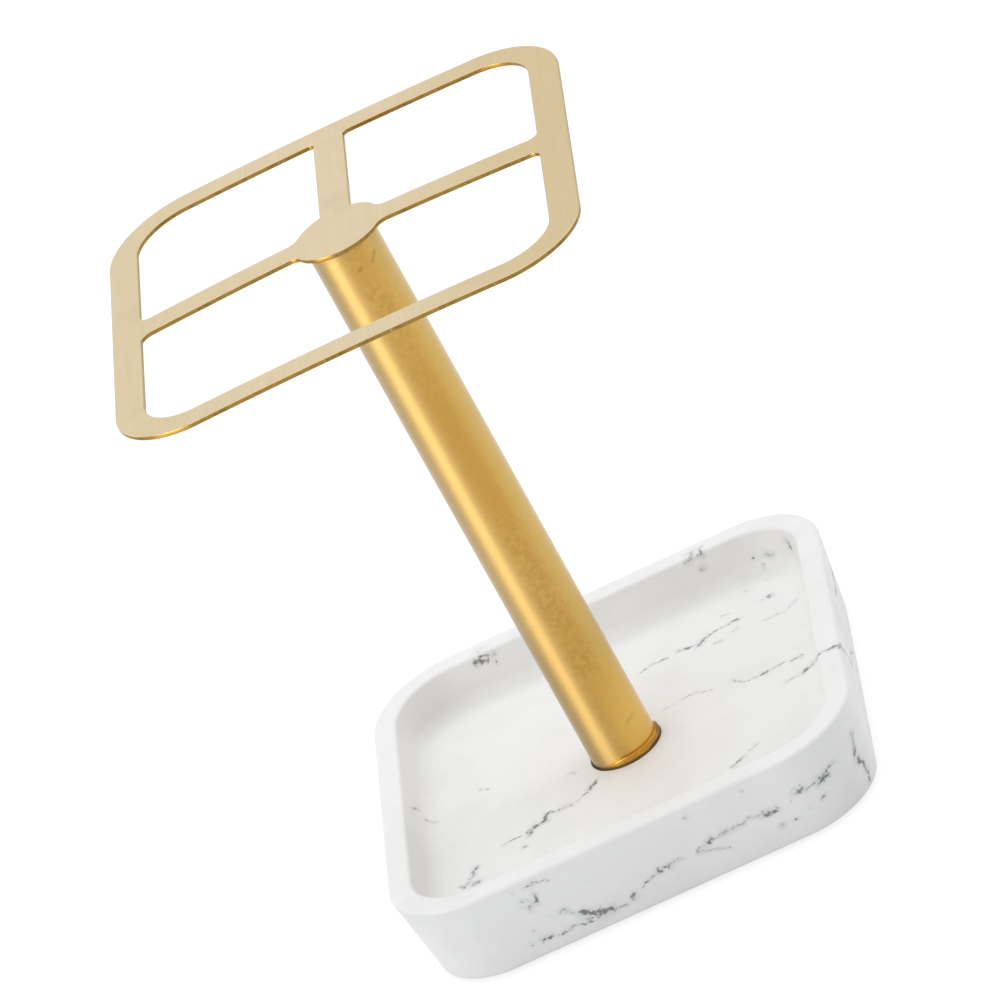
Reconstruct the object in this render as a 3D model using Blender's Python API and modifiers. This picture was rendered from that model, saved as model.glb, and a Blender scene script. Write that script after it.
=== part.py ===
# Toothbrush holder: a marble-look resin tray, a brass-finished post and a thin plate with three openings.
#
# The origin is on the post's axis, on the surface that the holder stands on.
# +X runs along the plate's two arms, -Y points to the front with the wide opening, and +Z is up.
# All lengths are in metres and all angles in radians.

import math

import bmesh
import bpy
from mathutils import Vector

# General clearances
SEAT_GAP = 0.0003            # between pieces that rest on one another
FERRULE_GAP = 0.0002         # between the tube and the thin ring round its foot

# Tray
TRAY_LENGTH = 0.1110         # along X, at the rim
TRAY_DEPTH = 0.1110          # along Y, at the rim
FLOOR_THICKNESS = 0.0116     # from the underside to the floor of the recess
TRAY_CORNER_RADIUS = 0.0203  # outline radius at the rim
TRAY_BACKWARD = 0.0012       # how far the tray's middle lies behind the post
TRAY_DRAFT = 0.0027          # how far the wall draws in from the rim to the underside
RIM_WIDTH = 0.0056
RIM_ROUNDING = 0.0012
TRAY_BOTTOM_ROUNDING = 0.0010
RECESS_DEPTH = 0.0097
RECESS_DRAFT = 0.0012        # how far the inner wall draws in above the floor rounding
RECESS_FLOOR_ROUNDING = 0.0042

# Post
TUBE_DIAMETER = 0.0160
TUBE_WALL = 0.0010
SOCKET_DEPTH = 0.0015        # how deep the foot sits in the tray floor
FERRULE_WALL = 0.00045
FERRULE_SHOW = 0.0012        # height of the ring above the tray floor
FERRULE_ROUNDING = 0.00015

# Plate
PLATE_TOP = 0.1548           # height of the plate's top over the standing surface
PLATE_LENGTH = 0.1090
PLATE_DEPTH = 0.1100
PLATE_THICKNESS = 0.0012
PLATE_CORNER_RADIUS = 0.0192
PLATE_FORWARD = 0.0015       # how far the plate's middle lies in front of the post
PLATE_CROWN = 0.0012         # how much lower the short sides lie than the middle
PLATE_EDGE_ROUNDING = 0.00018
SIDE_BAND = 0.0070
BACK_BAND = 0.0062
FRONT_BAND = 0.0065
CENTRE_BAR = 0.0073
ARM_WIDTH = 0.0065
ARM_SWEEP = 0.0017           # how far the arms' outer ends lie in front of the disc's centre
DISC_OVERHANG = 0.0015       # how far the disc reaches past the tube all round
OPENING_RADIUS = 0.0120      # corners of the openings that follow the plate's own corners
BAR_CORNER_RADIUS = 0.0012   # corners where the centre bar meets the back band
ARM_CORNER_RADIUS = 0.0023   # corners where an arm meets a side band
BAR_FILLET = 0.0008          # where the centre bar runs into the disc
ARM_FILLET = 0.0022          # where an arm runs into the disc

# Pieces inside the post
PLUG_LENGTH = 0.0080
INSERT_LENGTH = 0.0160
PIECE_CHAMFER = 0.0005

# Screw joint under the tray
SCREW_DIAMETER = 0.0060
SCREW_REACH = 0.0130         # length of the screw inside the insert
SCREW_HEAD_DIAMETER = 0.0115
SCREW_HEAD_HEIGHT = 0.0034
SCREW_HEAD_DOME = 0.0012
HEAD_RECESS = 0.0006         # how far the head stays above the tray's underside
DRIVE_WIDTH = 0.0012
DRIVE_LENGTH = 0.0062
DRIVE_DEPTH = 0.0018
SCREW_HOLE_CLEARANCE = 0.0005
WASHER_DIAMETER = 0.0180
WASHER_THICKNESS = 0.0015
POCKET_CLEARANCE = 0.0010

# Pads
PAD_DIAMETER = 0.0100
PAD_STAND = 0.0008           # how far the pads lift the tray
PAD_SEAT_DEPTH = 0.0011
PAD_INSET = 0.0150           # from the tray's underside edge to a pad's centre
PAD_ROUNDING = 0.0003

# Mesh fineness
CORNER_STEPS = 12            # facets on a quarter turn of the large corners
FILLET_STEPS = 5             # facets on a small fillet
EDGE_STEPS = 4               # facets across a rounded edge
ROUND_STEPS = 48             # facets round a turned piece
SMALL_ROUND_STEPS = 32
CROWN_STATIONS = 24          # cuts along the plate that let it follow its crown
CUT_MARGIN = 0.0010          # how far a cutter runs past the face that it opens
SMOOTH_ANGLE = math.radians(35)
MERGE_DISTANCE = 0.000005

# Heights and radii that follow from the sizes above
TRAY_BOTTOM = PAD_STAND
TRAY_FLOOR = TRAY_BOTTOM + FLOOR_THICKNESS
TRAY_TOP = TRAY_FLOOR + RECESS_DEPTH
SOCKET_FLOOR = TRAY_FLOOR - SOCKET_DEPTH
HEAD_BOTTOM = TRAY_BOTTOM + HEAD_RECESS
HEAD_TOP = HEAD_BOTTOM + SCREW_HEAD_HEIGHT
WASHER_BOTTOM = HEAD_TOP + SEAT_GAP
WASHER_TOP = WASHER_BOTTOM + WASHER_THICKNESS
POCKET_ROOF = WASHER_TOP + SEAT_GAP
TUBE_RADIUS = TUBE_DIAMETER / 2
TUBE_BORE = TUBE_RADIUS - TUBE_WALL
TUBE_FOOT = SOCKET_FLOOR + SEAT_GAP
TUBE_TOP = PLATE_TOP - PLATE_THICKNESS - SEAT_GAP
FERRULE_BORE = TUBE_RADIUS + FERRULE_GAP
FERRULE_RADIUS = FERRULE_BORE + FERRULE_WALL
SOCKET_RADIUS = FERRULE_RADIUS + SEAT_GAP
INNER_RADIUS = TUBE_BORE - SEAT_GAP
SCREW_RADIUS = SCREW_DIAMETER / 2
SCREW_BORE = SCREW_RADIUS + SEAT_GAP
SCREW_TIP = TUBE_FOOT + SCREW_REACH
PAD_TOP = TRAY_BOTTOM + PAD_SEAT_DEPTH - SEAT_GAP
DISC_DIAMETER = TUBE_DIAMETER + 2 * DISC_OVERHANG
OPENING_HALF = PLATE_LENGTH / 2 - SIDE_BAND
OPENING_BACK = PLATE_DEPTH / 2 - BACK_BAND - PLATE_FORWARD
OPENING_FRONT = FRONT_BAND - PLATE_DEPTH / 2 - PLATE_FORWARD


def start_collections():
    """Empty the scene and return the parts collection and the cutters collection."""
    for old in list(bpy.data.objects):
        bpy.data.objects.remove(old, do_unlink=True)
    made = []
    for name in ("toothbrush_holder", "cutters"):
        collection = bpy.data.collections.new(name)
        bpy.context.scene.collection.children.link(collection)
        made.append(collection)
    return made


PARTS, CUTTERS = start_collections()


def make_material(name, colour, roughness, metallic):
    material = bpy.data.materials.new(name)
    material.use_nodes = True
    shader = material.node_tree.nodes["Principled BSDF"]
    shader.inputs["Base Color"].default_value = (*colour, 1.0)
    shader.inputs["Roughness"].default_value = roughness
    shader.inputs["Metallic"].default_value = metallic
    material.diffuse_color = (*colour, 1.0)
    return material


MARBLE = make_material("marble_resin", (0.86, 0.86, 0.85), 0.45, 0.0)
BRUSHED_BRASS = make_material("brushed_brass", (0.80, 0.66, 0.42), 0.38, 1.0)
SATIN_BRASS = make_material("satin_brass", (0.70, 0.46, 0.15), 0.28, 1.0)
STEEL = make_material("zinc_steel", (0.62, 0.63, 0.64), 0.35, 1.0)
PAD_RUBBER = make_material("pad_rubber", (0.80, 0.80, 0.78), 0.60, 0.0)


# Mesh helpers

def object_from_mesh(name, mesh, material):
    piece = bpy.data.objects.new(name, mesh)
    PARTS.objects.link(piece)
    if material is not None:
        mesh.materials.append(material)
    return piece


def object_from_bmesh(name, bm, material):
    mesh = bpy.data.meshes.new(name)
    bm.to_mesh(mesh)
    bm.free()
    return object_from_mesh(name, mesh, material)


def shade_round(piece):
    """Shade a finished piece smooth, with its real edges kept sharp."""
    piece.data.shade_smooth()
    piece.data.set_sharp_from_angle(angle=SMOOTH_ANGLE)


def evaluated_mesh(piece):
    """Return a new mesh of the object as its modifiers or its curve make it."""
    graph = bpy.context.evaluated_depsgraph_get()
    return bpy.data.meshes.new_from_object(piece.evaluated_get(graph), depsgraph=graph)


def turned_piece(name, profile, material, steps=ROUND_STEPS):
    """Turn a closed profile of (radius, height) points about Z and return the object.

    The profile runs down its outer side and comes back up the bore or the axis.
    """
    bm = bmesh.new()
    points = [bm.verts.new((radius, 0.0, height)) for radius, height in profile]
    on_axis = profile[0][0] == 0.0
    pairs = list(zip(points, points[1:]))
    if not on_axis:
        pairs.append((points[-1], points[0]))
    for start, end in pairs:
        bm.edges.new((start, end))
    piece = object_from_bmesh(name, bm, material)
    screw = piece.modifiers.new("turn", "SCREW")
    screw.axis = "Z"
    screw.steps = steps
    screw.render_steps = steps
    screw.use_merge_vertices = True
    screw.merge_threshold = MERGE_DISTANCE
    screw.use_smooth_shade = True
    mesh = evaluated_mesh(piece)
    piece.modifiers.clear()
    piece.data = mesh
    shade_round(piece)
    return piece


def cylinder_cutter(name, radius, bottom, top, centre=(0.0, 0.0), steps=ROUND_STEPS):
    bm = bmesh.new()
    bmesh.ops.create_cone(
        bm, cap_ends=True, segments=steps, radius1=radius, radius2=radius, depth=top - bottom
    )
    bmesh.ops.translate(bm, verts=bm.verts, vec=(centre[0], centre[1], (top + bottom) / 2))
    return cutter_from_bmesh(name, bm)


def box_cutter(name, size, centre):
    bm = bmesh.new()
    bmesh.ops.create_cube(bm, size=1.0)
    bmesh.ops.scale(bm, verts=bm.verts, vec=size)
    bmesh.ops.translate(bm, verts=bm.verts, vec=centre)
    return cutter_from_bmesh(name, bm)


def cutter_from_bmesh(name, bm):
    mesh = bpy.data.meshes.new(name)
    bm.to_mesh(mesh)
    bm.free()
    cutter = bpy.data.objects.new(name, mesh)
    CUTTERS.objects.link(cutter)
    cutter.hide_render = True
    cutter.display_type = "WIRE"
    return cutter


def cut(piece, cutter):
    modifier = piece.modifiers.new("cut_" + cutter.name, "BOOLEAN")
    modifier.operation = "DIFFERENCE"
    modifier.solver = "EXACT"
    modifier.object = cutter


# Outline helpers

def arc_points(centre, radius, start, end, steps):
    """Points of an arc from angle start to angle end, both ends included."""
    points = []
    for step in range(steps + 1):
        angle = start + (end - start) * step / steps
        points.append(Vector((centre[0] + radius * math.cos(angle), centre[1] + radius * math.sin(angle))))
    return points


def rounded_rectangle(half_x, half_y, radius, steps=CORNER_STEPS):
    """Outline of a rounded rectangle, counter-clockwise from its right side."""
    quarter = math.pi / 2
    points = []
    for index, (sign_x, sign_y) in enumerate(((1, 1), (-1, 1), (-1, -1), (1, -1))):
        centre = (sign_x * (half_x - radius), sign_y * (half_y - radius))
        points += arc_points(centre, radius, index * quarter, (index + 1) * quarter, steps)
    return points


def corner_arc(before, corner, after, radius, steps):
    """Points that round the corner between two straight runs with a tangent arc."""
    to_before = (before - corner).normalized()
    to_after = (after - corner).normalized()
    half_angle = to_before.angle(to_after) / 2
    reach = radius / math.tan(half_angle)
    centre = corner + (to_before + to_after).normalized() * (radius / math.sin(half_angle))
    return sweep_about(centre, corner + to_before * reach, corner + to_after * reach, steps)


def sweep_about(centre, start, end, steps):
    """Points of the shorter arc about a centre from one point to another."""
    first = start - centre
    turn = first.angle_signed(end - centre)
    base = math.atan2(first.y, first.x)
    return arc_points(centre, first.length, base, base - turn, steps)


# Tray

def tray_sections():
    """Return the tray's sections as (height, inset from the rim outline), from the underside to the floor."""
    quarter = math.pi / 2
    sections = []
    for step in range(EDGE_STEPS + 1):
        angle = quarter * step / EDGE_STEPS
        inset = TRAY_DRAFT + TRAY_BOTTOM_ROUNDING * (1 - math.sin(angle))
        sections.append((TRAY_BOTTOM + TRAY_BOTTOM_ROUNDING * (1 - math.cos(angle)), inset))
    for step in range(EDGE_STEPS + 1):
        angle = quarter * step / EDGE_STEPS
        height = TRAY_TOP - RIM_ROUNDING * (1 - math.sin(angle))
        sections.append((height, RIM_ROUNDING * (1 - math.cos(angle))))
    for step in range(EDGE_STEPS + 1):
        angle = quarter * step / EDGE_STEPS
        height = TRAY_TOP - RIM_ROUNDING * (1 - math.cos(angle))
        sections.append((height, RIM_WIDTH - RIM_ROUNDING * (1 - math.sin(angle))))
    floor_start = RIM_WIDTH + RECESS_DRAFT
    for step in range(FILLET_STEPS + 1):
        angle = quarter * step / FILLET_STEPS
        height = TRAY_FLOOR + RECESS_FLOOR_ROUNDING * (1 - math.sin(angle))
        sections.append((height, floor_start + RECESS_FLOOR_ROUNDING * (1 - math.cos(angle))))
    return sections


def tray_body():
    """Loft the tray's sections, whose corner radius shrinks as they draw in."""
    bm = bmesh.new()
    rings = []
    for height, inset in tray_sections():
        outline = rounded_rectangle(
            TRAY_LENGTH / 2 - inset, TRAY_DEPTH / 2 - inset, TRAY_CORNER_RADIUS - inset
        )
        rings.append([bm.verts.new((point.x, point.y + TRAY_BACKWARD, height)) for point in outline])
    for lower, upper in zip(rings, rings[1:]):
        count = len(lower)
        for index in range(count):
            following = (index + 1) % count
            bm.faces.new((lower[index], lower[following], upper[following], upper[index]))
    bm.faces.new(list(reversed(rings[0])))
    bm.faces.new(rings[-1])
    return object_from_bmesh("tray_base", bm, MARBLE)


def pad_places():
    """Name and centre of each pad, from the edge of the tray's underside."""
    reach_x = TRAY_LENGTH / 2 - TRAY_DRAFT - PAD_INSET
    reach_y = TRAY_DEPTH / 2 - TRAY_DRAFT - PAD_INSET
    places = {}
    for row, sign_y in (("front", -1), ("back", 1)):
        for side, sign_x in (("left", -1), ("right", 1)):
            places[f"pad_{row}_{side}"] = (sign_x * reach_x, sign_y * reach_y + TRAY_BACKWARD)
    return places


def make_tray():
    tray = tray_body()
    cut(tray, cylinder_cutter("socket_cutter", SOCKET_RADIUS, SOCKET_FLOOR, TRAY_FLOOR + CUT_MARGIN))
    cut(
        tray,
        cylinder_cutter(
            "screw_hole_cutter",
            SCREW_RADIUS + SCREW_HOLE_CLEARANCE,
            POCKET_ROOF - CUT_MARGIN,
            SOCKET_FLOOR + CUT_MARGIN,
            steps=SMALL_ROUND_STEPS,
        ),
    )
    cut(
        tray,
        cylinder_cutter(
            "washer_pocket_cutter",
            WASHER_DIAMETER / 2 + POCKET_CLEARANCE,
            TRAY_BOTTOM - CUT_MARGIN,
            POCKET_ROOF,
        ),
    )
    for name, centre in pad_places().items():
        cut(
            tray,
            cylinder_cutter(
                name + "_cutter",
                PAD_DIAMETER / 2 + SEAT_GAP,
                TRAY_BOTTOM - CUT_MARGIN,
                TRAY_BOTTOM + PAD_SEAT_DEPTH,
                centre,
                SMALL_ROUND_STEPS,
            ),
        )
    tray.data = evaluated_mesh(tray)
    tray.modifiers.clear()
    shade_round(tray)


# Holder plate

def arm_direction(side):
    """Unit direction of an arm from the disc's centre outwards; side is -1 or +1."""
    return Vector((side * OPENING_HALF, -ARM_SWEEP)).normalized()


def arm_across(side, edge):
    """Unit vector square to an arm, towards its back edge (+1) or its front edge (-1)."""
    along = arm_direction(side)
    square = Vector((-along.y, along.x))
    return square if square.y * edge > 0 else -square


def arm_end(side, edge):
    """Point where an arm's edge meets the inner edge of the side band."""
    half_width_along_band = ARM_WIDTH / 2 / abs(arm_direction(side).x)
    return Vector((side * OPENING_HALF, edge * half_width_along_band - ARM_SWEEP))


def disc_blend(direction, across, half_width, fillet):
    """Points that run from the edge of a straight bar round a fillet to the disc's rim.

    The bar leaves the disc's centre along direction, and across points at the edge in question.
    """
    disc_radius = DISC_DIAMETER / 2
    sideways = half_width + fillet
    reach = math.sqrt((disc_radius + fillet) ** 2 - sideways ** 2)
    centre = direction * reach + across * sideways
    return sweep_about(centre, centre - across * fillet, centre.normalized() * disc_radius, FILLET_STEPS)


def arm_blend(side, edge):
    return disc_blend(arm_direction(side), arm_across(side, edge), ARM_WIDTH / 2, ARM_FILLET)


def back_opening(side):
    """Outline of one of the two back openings; side is -1 for the left one and +1 for the right one."""
    bar_corner = Vector((side * CENTRE_BAR / 2, OPENING_BACK))
    outer_corner = Vector((side * OPENING_HALF, OPENING_BACK))
    arm_corner = arm_end(side, 1)
    at_bar = disc_blend(Vector((0.0, 1.0)), Vector((float(side), 0.0)), CENTRE_BAR / 2, BAR_FILLET)
    at_arm = arm_blend(side, 1)
    outline = corner_arc(at_bar[0], bar_corner, outer_corner, BAR_CORNER_RADIUS, FILLET_STEPS)
    outline += corner_arc(bar_corner, outer_corner, arm_corner, OPENING_RADIUS, CORNER_STEPS)
    outline += corner_arc(outer_corner, arm_corner, at_arm[0], ARM_CORNER_RADIUS, FILLET_STEPS)
    outline += at_arm
    outline += sweep_about(Vector((0.0, 0.0)), at_arm[-1], at_bar[-1], FILLET_STEPS)[1:-1]
    outline += list(reversed(at_bar))
    return outline


def front_opening():
    """Outline of the full-width front opening, with the disc's front edge bulging into it."""
    halves = []
    for side in (1, -1):
        front_middle = Vector((0.0, OPENING_FRONT))
        front_corner = Vector((side * OPENING_HALF, OPENING_FRONT))
        arm_corner = arm_end(side, -1)
        at_arm = arm_blend(side, -1)
        half = corner_arc(front_middle, front_corner, arm_corner, OPENING_RADIUS, CORNER_STEPS)
        half += corner_arc(front_corner, arm_corner, at_arm[0], ARM_CORNER_RADIUS, FILLET_STEPS)
        half += at_arm
        halves.append(half)
    right, left = halves
    disc_front = sweep_about(Vector((0.0, 0.0)), right[-1], left[-1], CORNER_STEPS)[1:-1]
    return right + disc_front + list(reversed(left))


def plate_curve():
    """Lay the plate's outline and its three openings in one flat curve with rounded edges."""
    curve = bpy.data.curves.new("holder_plate", "CURVE")
    curve.dimensions = "2D"
    curve.fill_mode = "BOTH"
    curve.bevel_depth = PLATE_EDGE_ROUNDING
    curve.bevel_resolution = 1
    curve.offset = -PLATE_EDGE_ROUNDING
    curve.extrude = PLATE_THICKNESS / 2 - PLATE_EDGE_ROUNDING
    outer = [
        Vector((point.x, point.y - PLATE_FORWARD))
        for point in rounded_rectangle(PLATE_LENGTH / 2, PLATE_DEPTH / 2, PLATE_CORNER_RADIUS)
    ]
    for outline in (outer, back_opening(-1), back_opening(1), front_opening()):
        spline = curve.splines.new("POLY")
        spline.points.add(len(outline) - 1)
        for target, point in zip(spline.points, outline):
            target.co = (point.x, point.y, 0.0, 1.0)
        spline.use_cyclic_u = True
    piece = bpy.data.objects.new("plate_outline", curve)
    PARTS.objects.link(piece)
    return piece


def crown_plate(bm):
    """Cut the flat plate across at regular stations and bend it to its crown."""
    half = PLATE_LENGTH / 2
    for station in range(1, CROWN_STATIONS):
        place = -half + PLATE_LENGTH * station / CROWN_STATIONS
        everything = list(bm.verts) + list(bm.edges) + list(bm.faces)
        bmesh.ops.bisect_plane(
            bm, geom=everything, dist=MERGE_DISTANCE, plane_co=(place, 0.0, 0.0), plane_no=(1.0, 0.0, 0.0)
        )
    bmesh.ops.triangulate(bm, faces=bm.faces)
    for vertex in bm.verts:
        vertex.co.z -= PLATE_CROWN * (vertex.co.x / half) ** 2


def make_plate():
    outline = plate_curve()
    mesh = evaluated_mesh(outline)
    mesh.name = "holder_plate"
    bpy.data.objects.remove(outline, do_unlink=True)
    mesh.materials.clear()
    bm = bmesh.new()
    bm.from_mesh(mesh)
    bmesh.ops.remove_doubles(bm, verts=bm.verts, dist=MERGE_DISTANCE)
    crown_plate(bm)
    bmesh.ops.recalc_face_normals(bm, faces=bm.faces)
    bmesh.ops.translate(bm, verts=bm.verts, vec=(0.0, 0.0, PLATE_TOP - PLATE_THICKNESS / 2))
    bm.to_mesh(mesh)
    bm.free()
    shade_round(object_from_mesh("holder_plate", mesh, BRUSHED_BRASS))


# Turned pieces

def make_tube():
    turned_piece(
        "post_tube",
        [
            (TUBE_RADIUS, TUBE_TOP),
            (TUBE_RADIUS, TUBE_FOOT),
            (TUBE_BORE, TUBE_FOOT),
            (TUBE_BORE, TUBE_TOP),
        ],
        SATIN_BRASS,
    )


def make_foot_ring():
    top = TRAY_FLOOR + FERRULE_SHOW
    turned_piece(
        "foot_ring",
        [
            (FERRULE_RADIUS - FERRULE_ROUNDING, top),
            (FERRULE_RADIUS, top - FERRULE_ROUNDING),
            (FERRULE_RADIUS, TUBE_FOOT),
            (FERRULE_BORE, TUBE_FOOT),
            (FERRULE_BORE, top),
        ],
        SATIN_BRASS,
    )


def make_tube_plug():
    bottom = TUBE_TOP - PLUG_LENGTH
    turned_piece(
        "tube_plug",
        [
            (0.0, TUBE_TOP),
            (INNER_RADIUS, TUBE_TOP),
            (INNER_RADIUS, bottom + PIECE_CHAMFER),
            (INNER_RADIUS - PIECE_CHAMFER, bottom),
            (0.0, bottom),
        ],
        STEEL,
        SMALL_ROUND_STEPS,
    )


def make_threaded_insert():
    top = TUBE_FOOT + INSERT_LENGTH
    turned_piece(
        "threaded_insert",
        [
            (INNER_RADIUS - PIECE_CHAMFER, top),
            (INNER_RADIUS, top - PIECE_CHAMFER),
            (INNER_RADIUS, TUBE_FOOT),
            (SCREW_BORE, TUBE_FOOT),
            (SCREW_BORE, top),
        ],
        STEEL,
        SMALL_ROUND_STEPS,
    )


def make_flat_washer():
    outer = WASHER_DIAMETER / 2
    turned_piece(
        "flat_washer",
        [
            (outer, WASHER_TOP),
            (outer, WASHER_BOTTOM),
            (SCREW_BORE, WASHER_BOTTOM),
            (SCREW_BORE, WASHER_TOP),
        ],
        STEEL,
        SMALL_ROUND_STEPS,
    )


def make_fixing_screw():
    head_radius = SCREW_HEAD_DIAMETER / 2
    profile = [
        (0.0, SCREW_TIP),
        (SCREW_RADIUS - PIECE_CHAMFER, SCREW_TIP),
        (SCREW_RADIUS, SCREW_TIP - PIECE_CHAMFER),
        (SCREW_RADIUS, HEAD_TOP),
        (head_radius, HEAD_TOP),
    ]
    for step in range(EDGE_STEPS + 1):
        angle = math.pi / 2 * step / EDGE_STEPS
        radius = head_radius - SCREW_HEAD_DOME * (1 - math.cos(angle))
        profile.append((radius, HEAD_BOTTOM + SCREW_HEAD_DOME * (1 - math.sin(angle))))
    profile.append((0.0, HEAD_BOTTOM))
    screw = turned_piece("fixing_screw", profile, STEEL, SMALL_ROUND_STEPS)
    drive_height = DRIVE_DEPTH + CUT_MARGIN
    centre = (0.0, 0.0, HEAD_BOTTOM + DRIVE_DEPTH - drive_height / 2)
    for name, size in (
        ("drive_slot_x", (DRIVE_LENGTH, DRIVE_WIDTH, drive_height)),
        ("drive_slot_y", (DRIVE_WIDTH, DRIVE_LENGTH, drive_height)),
    ):
        cut(screw, box_cutter(name, size, centre))
    screw.data = evaluated_mesh(screw)
    screw.modifiers.clear()
    shade_round(screw)


def make_pads():
    radius = PAD_DIAMETER / 2
    for name, centre in pad_places().items():
        pad = turned_piece(
            name,
            [
                (0.0, PAD_TOP),
                (radius, PAD_TOP),
                (radius, PAD_ROUNDING),
                (radius - PAD_ROUNDING, 0.0),
                (0.0, 0.0),
            ],
            PAD_RUBBER,
            SMALL_ROUND_STEPS,
        )
        pad.location = (centre[0], centre[1], 0.0)


make_tray()
make_tube()
make_foot_ring()
make_plate()
make_tube_plug()
make_threaded_insert()
make_flat_washer()
make_fixing_screw()
make_pads()
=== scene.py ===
import math

import bmesh
import bpy
from mathutils import Matrix, Vector


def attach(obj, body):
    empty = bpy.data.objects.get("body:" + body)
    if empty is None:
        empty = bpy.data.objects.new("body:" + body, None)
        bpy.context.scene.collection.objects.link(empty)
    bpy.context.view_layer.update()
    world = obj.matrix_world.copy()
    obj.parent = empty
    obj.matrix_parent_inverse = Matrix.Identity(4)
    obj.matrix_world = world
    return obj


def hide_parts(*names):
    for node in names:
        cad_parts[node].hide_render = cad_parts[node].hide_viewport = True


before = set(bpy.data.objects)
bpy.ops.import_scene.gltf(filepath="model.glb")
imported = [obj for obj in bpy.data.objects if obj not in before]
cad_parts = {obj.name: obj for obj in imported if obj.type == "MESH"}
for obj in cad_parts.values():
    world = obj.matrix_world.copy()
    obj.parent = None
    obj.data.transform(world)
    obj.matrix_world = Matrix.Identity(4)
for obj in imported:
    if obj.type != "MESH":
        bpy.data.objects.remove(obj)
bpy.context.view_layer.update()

scene = bpy.context.scene
mm = 0.001  # sizes are written in millimetres and used in metres
fullTurn = 2 * math.pi


# Shader and geometry expressions

def operator(operation, reflected=False):
    def apply(self, other):
        first, second = (other, self) if reflected else (self, other)
        return self.graph.maths(operation, first, second)
    return apply


class Wire:
    # One output of a node. Operators on it add Math or Vector Math nodes to the same tree.
    __add__ = operator("ADD")
    __radd__ = operator("ADD", True)
    __sub__ = operator("SUBTRACT")
    __rsub__ = operator("SUBTRACT", True)
    __mul__ = operator("MULTIPLY")
    __rmul__ = operator("MULTIPLY", True)
    __truediv__ = operator("DIVIDE")
    __rtruediv__ = operator("DIVIDE", True)

    def __init__(self, graph, socket):
        self.graph = graph
        self.socket = socket

    def out(self, name):
        return Wire(self.graph, self.socket.node.outputs[name])

    def __abs__(self):
        return self.graph.maths("ABSOLUTE", self)

    def smooth(self, start, end, low=0.0, high=1.0):
        # low at the start and high at the end, with a soft rise between
        sockets = {0: self, 1: start, 2: end, 3: low, 4: high}
        return self.graph.node("ShaderNodeMapRange", {"interpolation_type": "SMOOTHSTEP"}, sockets)

    def rise(self, limits):
        # from 0 at the first limit to 1 at the second, both in mm
        start, end = limits
        return self.smooth(start * mm, end * mm)


def isVector(thing):
    if isinstance(thing, Wire):
        return thing.socket.type in ("VECTOR", "RGBA")
    return isinstance(thing, (tuple, Vector))


class Graph:
    # A node tree that is written as expressions.
    def __init__(self, tree):
        self.tree = tree

    def node(self, kind, settings=None, sockets=None, output=0):
        made = self.tree.nodes.new(kind)
        for name, value in (settings or {}).items():
            if name == "items":
                while len(made.index_switch_items) < value:
                    made.index_switch_items.new()
            else:
                setattr(made, name, value)
        for key, value in (sockets or {}).items():
            for one in value if isinstance(value, list) else [value]:
                if isinstance(one, Wire):
                    self.tree.links.new(one.socket, made.inputs[key])
                else:
                    made.inputs[key].default_value = one
        return Wire(self, made.outputs[output])

    def maths(self, operation, first, second=None):
        values = [value for value in (first, second) if value is not None]
        if not any(isVector(value) for value in values):
            return self.node("ShaderNodeMath", {"operation": operation}, dict(enumerate(values)))
        if operation == "MULTIPLY" and not (isVector(first) and isVector(second)):
            vector, amount = (first, second) if isVector(first) else (second, first)
            return self.vector("SCALE", vector, Scale=amount)
        spread = [(value,) * 3 if isinstance(value, (int, float)) else value for value in values]
        return self.vector(operation, *spread)

    def vector(self, operation, *values, output=0, **named):
        plain = [tuple(value) if isinstance(value, Vector) else value for value in values]
        sockets = {**dict(enumerate(plain)), **named}
        return self.node("ShaderNodeVectorMath", {"operation": operation}, sockets, output)

    def distance(self, first, second):
        return self.vector("DISTANCE", first, second, output=1)

    def dot(self, first, second):
        return self.vector("DOT_PRODUCT", first, second, output=1)

    def axes(self, vector):
        parts = self.node("ShaderNodeSeparateXYZ", {}, {0: vector})
        return [parts.out(name) for name in "XYZ"]

    def least(self, first, second):
        return self.maths("MINIMUM", first, second)

    def most(self, first, second):
        return self.maths("MAXIMUM", first, second)

    def clamped(self, value):
        return self.node("ShaderNodeClamp", {}, {0: value})

    def mixed(self, first, second, share):
        # a number on a socket is a colour of three, and the node wants four
        ends = [(*value, 1.0) if isinstance(value, tuple) else value for value in (first, second)]
        return self.node("ShaderNodeMix", {"data_type": "RGBA"}, {0: share, 6: ends[0], 7: ends[1]}, 2)

    def combined(self, x, y, z):
        return self.node("ShaderNodeCombineXYZ", {}, {0: x, 1: y, 2: z})


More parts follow.
